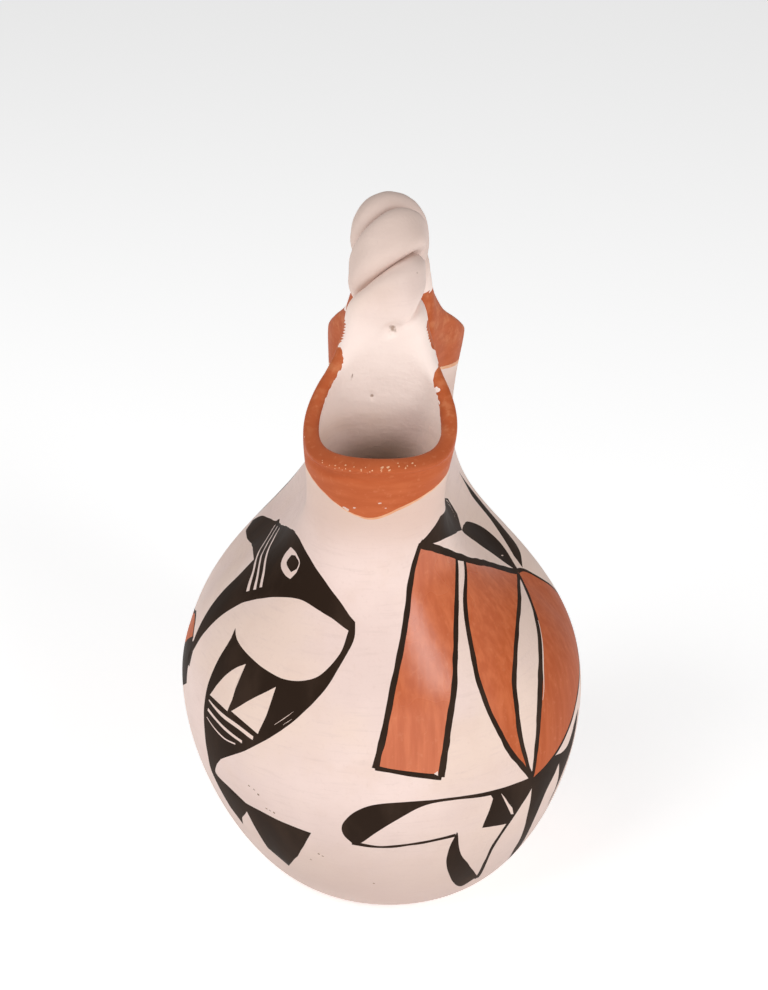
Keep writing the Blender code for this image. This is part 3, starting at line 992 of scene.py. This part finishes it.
def far_side():
    """A plainer company of the same kinds on the far side, turned half round."""
    top = curve((17.6, 147.2), (28.6, 141), (47.9, 131), (62, 112), (76, 95), (85, 91.8), (92, 94),
                (98.6, 97.8), (105, 97.8), (110, 94.9))
    left = curve((18.1, 147.1), (14.2, 123.3), (8.4, 103.8), (2.2, 77))
    foot = curve((2.2, 77.3), (11.2, 74.6), (19.7, 71.9))
    right = curve((19.5, 72), (25.5, 101.1), (38.5, 135.5))
    side_left = curve((44, 133), (34, 108), (36, 84), (49, 58.9))
    side_right = curve((110, 94.9), (104, 90), (97, 83.5), (88, 76), (70, 65), (49, 58.9))
    body = (
        curve((-26, 130), (-14, 124), (-6, 114), (-12, 100.2), (-25, 84.4), (-47, 63.7), (-52.3, 54.3)),
        curve((-46.6, 52.6), (-31.9, 49.2), (-17.5, 47)),
        straight((-19, 43.5), (-24.9, 32), (-32.1, 22.1), (-40.5, 30)),
        curve((-47.2, 34.5), (-54.9, 56), (-54.4, 75.2), (-50, 95), (-45.4, 110)),
    )
    petal = curve((-44, 108.9), (-22.3, 102), (-9.5, 114.5), (-26, 122), (-44, 116))
    leaf = curve((49, 58.9), (19.1, 63.6), (-3.6, 60.1), (-5.7, 45.3))
    shapes = [
        area(ORANGE, top, side_right, side_left[::-1]),
        area(ORANGE, curve((17.6, 147.2), (28.6, 141), (38.5, 136)), right[::-1], foot[::-1], left[::-1]),
        stroke(BLACK, left, 1.8, 2, 2.2),
        stroke(BLACK, foot, 1.8, 1.7, 2.2),
        stroke(BLACK, right, 2.3, 1.9, 1.7),
        stroke(BLACK, side_left, 1.9, 2, 1.8),
        stroke(BLACK, side_right, 1.8, 2, 1.6, 1.8),
        area(BLACK, curve((111.6, 95), (105, 91), (98, 86), (90, 80)), curve((88, 73), (96, 71), (104, 73)),
             curve((111.4, 79), (111.2, 84.5), (111.8, 90))),
        stroke(BLACK, top, 2.6, 2.2, 2.2, 1.2, 1.2),
        area(BLACK, *body),
        area(BLACK, curve((-26, 130), (-38, 124), (-49, 112), (-47, 108)),
             curve((-45.4, 110), (-26, 120), (-14, 124))),
        area(SLIP, petal),
        area(BLACK, leaf, curve((-3.1, 45.7), (5.9, 55.3), (15.2, 61.9), (34.2, 57), (49.8, 52))),
        stroke(BLACK, curve((-5.7, 45.3), (10, 44.4), (24, 46.2), (38.6, 14.5)), 1.8, 1.2, 1.4, 1.6),
        stroke(BLACK, curve((38.6, 14.5), (38.4, 32.8), (49.7, 57.2)), 1.9, 1.5, 2),
    ]
    return [(slot, outline + (180.0, 0.0)) for slot, outline in shapes]


def make_design():
    """What is painted on each half, in its own (turn, rise), and the rises where it crosses over."""
    noise.seed_set(HAND_SEED)
    shapes = far_side() + bird() + panels() + crown() + flower() + stains()
    near, near_seams = on_half(shapes, 0.0)
    far, far_seams = on_half(shapes, 180.0)
    band = rim_band()
    rim_seams = {rise for _, outline in band for turn, rise in outline if abs(abs(turn) - math.pi) < 1e-9}
    return near + band, far + band, sorted(set(near_seams + far_seams) | rim_seams)


class Finish:
    """A material under construction: its nodes are added one after another, and end in its shader."""

    def __init__(self, name):
        self.material = bpy.data.materials.new(name)
        self.material.use_nodes = True
        self.tree = self.material.node_tree
        self.shader = self.tree.nodes["Principled BSDF"]
        self.place = self.add("ShaderNodeTexCoord").outputs["Object"]

    def add(self, kind, inputs=None, **settings):
        made = self.tree.nodes.new(kind)
        for name, value in settings.items():
            setattr(made, name, value)
        for name, value in (inputs or {}).items():
            self.put(value, made.inputs[name])
        return made

    def put(self, value, socket):
        if isinstance(value, bpy.types.NodeSocket):
            self.tree.links.new(value, socket)
        else:
            socket.default_value = value

    def along(self, axis):
        return self.add("ShaderNodeSeparateXYZ", {"Vector": self.place}).outputs[axis]

    def noise(self, scale, detail=3.0, stretch=(1.0, 1.0, 1.0), offset=0.0):
        """Noise from 0 to 1, its grain 1/scale metres, stretched by the divisors of stretch."""
        settings = {"Vector": self.place, "Location": (offset,) * 3, "Scale": stretch}
        moved = self.add("ShaderNodeMapping", settings)
        settings = {"Vector": moved.outputs["Vector"], "Scale": scale, "Detail": detail, "Roughness": 0.55}
        return self.add("ShaderNodeTexNoise", settings).outputs["Fac"]

    def ramp(self, value, low, high, start=0.0, end=1.0):
        """The value from low to high, spread over start to end and held there."""
        ranged = self.add(
            "ShaderNodeMapRange",
            {"Value": value, "From Min": low, "From Max": high, "To Min": start, "To Max": end},
            interpolation_type="SMOOTHSTEP",
        )
        return ranged.outputs["Result"]

    def maths(self, operation, first, second):
        made = self.add("ShaderNodeMath", operation=operation)
        self.put(first, made.inputs[0])
        self.put(second, made.inputs[1])
        return made.outputs[0]

    def times(self, first, second):
        return self.maths("MULTIPLY", first, second)

    def mix(self, first, second, share):
        """Two colours in a share that may be a number or a socket."""
        made = self.add("ShaderNodeMix", {"Factor": share}, data_type="RGBA")
        for value, socket in ((first, made.inputs[6]), (second, made.inputs[7])):
            self.put((*value, 1.0) if isinstance(value, tuple) else value, socket)
        return made.outputs[2]

    def layers(self, colour, *layers):
        """The colour with further ones over it, each (colour, share)."""
        for tint, share in layers:
            colour = self.mix(colour, tint, share)
        return colour

    def specks(self, scale, size, offset, rarity):
        """1 in small round specks and 0 between them."""
        moved = self.add("ShaderNodeMapping", {"Vector": self.place, "Location": (offset,) * 3})
        cells = self.add("ShaderNodeTexVoronoi", {"Vector": moved.outputs["Vector"], "Scale": scale})
        spot = self.ramp(cells.outputs["Distance"], size, size * 0.5)
        chosen = self.add("ShaderNodeSeparateColor", {"Color": cells.outputs["Color"]}).outputs["Red"]
        return self.times(spot, self.maths("GREATER_THAN", chosen, rarity))

    def near(self, place, size):
        """1 close to a place and 0 beyond this size, with a ragged edge."""
        away = self.add("ShaderNodeVectorMath", {"Vector": self.place}, operation="DISTANCE")
        away.inputs[1].default_value = place
        ragged = self.times(self.noise(700.0, offset=6.0), size)
        return self.ramp(self.maths("ADD", away.outputs["Value"], ragged), size * 1.3, size * 0.9)

    def done(self, colour, roughness, height, depth, specular):
        self.put(colour, self.shader.inputs["Base Color"])
        self.put(roughness, self.shader.inputs["Roughness"])
        self.put(specular, self.shader.inputs["Specular IOR Level"])
        bump = self.add("ShaderNodeBump", {"Height": height, "Strength": 1.0, "Distance": depth})
        self.put(bump.outputs["Normal"], self.shader.inputs["Normal"])
        return self.material


def polish_marks(f):
    return f.noise(26.0, 4.0, stretch=(1.0, 1.0, 3.0), offset=1.7)


def slip_colour(f, polish, grain):
    """White slip with pink and yellow clouds, polishing marks, fine grain, specks and two small pits.
    Over it lie a warm stain with painted shade under the rims, painted shade up the handle and towards the
    foot, and painted light from just inside the rims up the handle's roots.
    """
    height = f.along("Z")
    cloud = f.ramp(f.noise(24.0), 0.40, 0.68)
    blush = f.ramp(f.noise(17.0, 4.0, offset=3.1), 0.42, 0.66)
    patches = f.ramp(f.noise(75.0, 5.0, offset=9.0), 0.50, 0.72)
    lines = f.ramp(f.noise(150.0, 4.0, stretch=(0.6, 0.6, 6.0), offset=5.5), 0.52, 0.72)
    # A warm stain with painted shade under each rim, down onto the neck.
    stain_and_shade_under_rim = f.times(f.ramp(height, 0.138, 0.160), f.ramp(height, 0.176, 0.166))
    # Painted shade: the slip darker up the handle, most towards its top.
    painted_shade_on_handle = f.ramp(height, 0.208, 0.226, 0.0, 0.6)
    # Painted light: the slip paler from just inside the rims up the handle's roots.
    painted_light_in_bore = f.times(f.ramp(height, 0.176, 0.186), f.ramp(height, 0.222, 0.206))
    # Painted shade: the slip darker towards the foot.
    painted_shade_near_foot = f.ramp(height, 0.078, 0.0, 0.0, 0.90)
    return f.layers(
        f.mix((0.790, 0.615, 0.560), (0.855, 0.675, 0.615), cloud),
        ((0.82, 0.630, 0.500), f.times(blush, 0.50)),
        ((0.74, 0.545, 0.450), f.times(patches, 0.30)),
        ((0.68, 0.520, 0.465), f.times(lines, 0.30)),
        ((0.72, 0.555, 0.500), f.times(f.ramp(polish, 0.45, 0.75), 0.25)),
        ((0.60, 0.430, 0.360), f.times(f.ramp(grain, 0.55, 0.80), 0.16)),
        ((0.66, 0.465, 0.385), f.times(stain_and_shade_under_rim, 0.70)),
        ((0.66, 0.520, 0.465), painted_shade_on_handle),
        ((0.96, 0.800, 0.730), f.times(painted_light_in_bore, 0.95)),
        ((0.50, 0.380, 0.335), painted_shade_near_foot),
        *(((0.36, 0.235, 0.170), f.times(f.near(place, size), 0.8)) for place, size in PITS),
        ((0.22, 0.120, 0.075), f.times(f.specks(95.0, 0.055, 0.0, 0.87), 0.75)),
    )


def slip_finish():
    f = Finish("slip")
    polish, grain = polish_marks(f), f.noise(900.0, 2.0)
    height = f.maths("ADD", f.times(polish, 0.5), f.times(grain, 0.3))
    return f.done(slip_colour(f, polish, grain), f.ramp(polish, 0.3, 0.7, 0.48, 0.62), height, 0.0003, 0.3)


def orange_finish():
    """Brushed orange paint: upright strokes on the belly, level matt ones on the rims, worn at the lip,
    with painted shade over the rim bands and towards the jar's right side.
    """
    f = Finish("orange_paint")
    height, across = f.along("Z"), f.along("X")
    on_rim = f.ramp(height, 0.150, 0.156)
    upright = f.noise(420.0, stretch=(1.0, 1.0, 0.07))
    level = f.noise(210.0, 4.0, stretch=(0.45, 0.45, 2.2), offset=2.0)
    brush = f.add("ShaderNodeMix", {"Factor": on_rim, "A": upright, "B": level}).outputs["Result"]
    cloud = f.noise(26.0, offset=5.0)
    rubbed = f.times(f.ramp(f.noise(520.0), 0.56, 0.74), f.ramp(on_rim, 0.0, 1.0, 0.15, 0.18))
    worn_lip = f.times(f.ramp(height, 0.1815, 0.1855), f.ramp(f.noise(240.0, 4.0, offset=3.0), 0.46, 0.66))
    colour = f.layers(
        f.mix((0.53, 0.116, 0.037), (0.63, 0.160, 0.058), f.ramp(brush, 0.32, 0.72)),
        # Painted shade: the whole rim band darker.
        ((0.40, 0.090, 0.030), f.times(on_rim, 0.42)),
        # Painted shade: the orange darker towards the jar's right side.
        ((0.33, 0.062, 0.016), f.ramp(across, 0.030, 0.062, 0.0, 0.45)),
        ((0.44, 0.100, 0.038), f.times(f.ramp(cloud, 0.45, 0.70), 0.45)),
        ((0.78, 0.31, 0.15), rubbed),
        ((0.84, 0.40, 0.19), f.times(worn_lip, 0.20)),
        ((0.82, 0.52, 0.38), f.specks(260.0, 0.10, 2.0, 0.975)),
    )
    matt = f.maths("MAXIMUM", on_rim, f.ramp(f.maths("ABSOLUTE", across, 0.0), 0.026, 0.046))
    roughness = f.maths("ADD", f.ramp(cloud, 0.3, 0.7, 0.23, 0.30), f.times(matt, 0.22))
    return f.done(colour, roughness, brush, 0.00004, f.ramp(matt, 0.0, 1.0, 0.50, 0.06))


def black_finish():
    f = Finish("black_paint")
    brush = f.noise(75.0, 4.0, stretch=(1.0, 1.0, 0.4), offset=4.0)
    colour = f.mix((0.026, 0.0150, 0.0098), (0.042, 0.025, 0.017), f.ramp(brush, 0.40, 0.70))
    colour = f.mix(colour, (0.30, 0.20, 0.14), f.times(f.specks(220.0, 0.09, 6.0, 0.97), 0.8))
    return f.done(colour, f.ramp(brush, 0.3, 0.7, 0.42, 0.56), brush, 0.0002, 0.02)


def wash_finish():
    f = Finish("orange_wash")
    brush = f.noise(150.0, offset=8.0)
    colour = f.mix((0.72, 0.33, 0.165), (0.83, 0.50, 0.30), f.ramp(brush, 0.38, 0.66))
    return f.done(colour, f.ramp(brush, 0.3, 0.7, 0.45, 0.55), brush, 0.0002, 0.4)


def clay_and_shade_finish():
    """Bare scraped clay deep inside, under slip that thins out with depth and sooner in the middle.
    The dark clay is partly painted shade, deepest low down in the middle of each bore.
    """
    f = Finish("bare_clay_and_painted_shade")
    height, across = f.along("Z"), f.along("X")
    scrape = f.noise(70.0, 4.0, stretch=(1.0, 1.0, 2.0), offset=7.0)
    grain = f.noise(500.0, offset=2.0)
    sides = f.times(f.times(across, across), 32.0)
    level = f.maths("ADD", f.maths("ADD", height, sides), f.times(scrape, 0.006))
    bare = f.mix((0.240, 0.150, 0.095), (0.42, 0.29, 0.21), f.times(f.ramp(scrape, 0.50, 0.75), 0.30))
    colour = f.layers(
        slip_colour(f, polish_marks(f), grain),
        # Bare clay and painted shade: darker with depth, sooner in the middle than at the sides.
        (bare, f.ramp(level, 0.181, 0.161)),
        ((0.20, 0.120, 0.080), f.times(f.specks(120.0, 0.06, 1.0, 0.90), 0.6)),
    )
    relief = f.maths("ADD", scrape, f.times(grain, 0.25))
    return f.done(colour, f.ramp(grain, 0.3, 0.7, 0.6, 0.8), relief, 0.0005, 0.3)


def place_camera():
    forward = Vector((-math.sin(YAW) * math.cos(PITCH), math.cos(YAW) * math.cos(PITCH), -math.sin(PITCH)))
    level = Vector((math.cos(YAW), math.sin(YAW), 0.0))
    upright = level.cross(forward)
    right = math.cos(ROLL) * level + math.sin(ROLL) * upright
    up = math.cos(ROLL) * upright - math.sin(ROLL) * level
    camera = linked("camera", bpy.data.cameras.new("camera"))
    camera.data.lens = LENS
    camera.data.sensor_fit = "HORIZONTAL"
    camera.matrix_world = Matrix(
        (
            (right.x, up.x, -forward.x, AIM[0] - DISTANCE * forward.x),
            (right.y, up.y, -forward.y, AIM[1] - DISTANCE * forward.y),
            (right.z, up.z, -forward.z, AIM[2] - DISTANCE * forward.z),
            (0.0, 0.0, 0.0, 1.0),
        )
    )
    bpy.context.scene.camera = camera


def place_light(name, azimuth, elevation, size, power):
    """A soft light that faces the jar, from an azimuth and elevation in degrees."""
    light = bpy.data.lights.new(name, "AREA")
    light.shape = "RECTANGLE"
    light.size, light.size_y = size
    light.energy = power
    lamp = linked(name, light)
    turn, tilt = math.radians(azimuth), math.radians(elevation)
    away = Vector((math.sin(turn) * math.cos(tilt), -math.cos(turn) * math.cos(tilt), math.sin(tilt)))
    lamp.location = Vector(LIGHT_AIM) + away * LIGHT_DISTANCE
    lamp.rotation_euler = (-away).to_track_quat("-Z", "Y").to_euler()


def make_stage():
    """A plain pale floor that glows a little, an even sky and two soft lights."""
    floor = linked("floor", bpy.data.meshes.new("floor"))
    r = FLOOR_REACH
    floor.data.from_pydata([(-r, -r, 0.0), (r, -r, 0.0), (r, r, 0.0), (-r, r, 0.0)], [], [(0, 1, 2, 3)])
    pale = bpy.data.materials.new("pale_floor")
    pale.use_nodes = True
    floor.data.materials.append(pale)
    world = bpy.data.worlds.new("studio")
    bpy.context.scene.world = world
    world.use_nodes = True
    look = {"Base Color": FLOOR_COLOUR, "Roughness": 0.9, "Specular IOR Level": 0.0, "Emission Color": WHITE}
    for owner, node, values in (
        (pale, "Principled BSDF", {**look, "Emission Strength": FLOOR_GLOW}),
        (world, "Background", {"Color": WHITE, "Strength": SKY_GLOW}),
    ):
        for name, value in values.items():
            owner.node_tree.nodes[node].inputs[name].default_value = value
    place_light("key", *KEY_LIGHT)
    place_light("side", *SIDE_LIGHT)
    bpy.context.scene.view_settings.view_transform = "Standard"


vessel = make_jar(make_design())
for finish in (slip_finish, orange_finish, black_finish, wash_finish, clay_and_shade_finish):
    vessel.data.materials.append(finish())
jar = join_handle(vessel, as_object("handle", make_handle()))
dent_handle(jar)
for face in jar.data.polygons:
    face.use_smooth = True
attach(jar, "root")
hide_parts("wedding_jar")
make_stage()
place_camera()
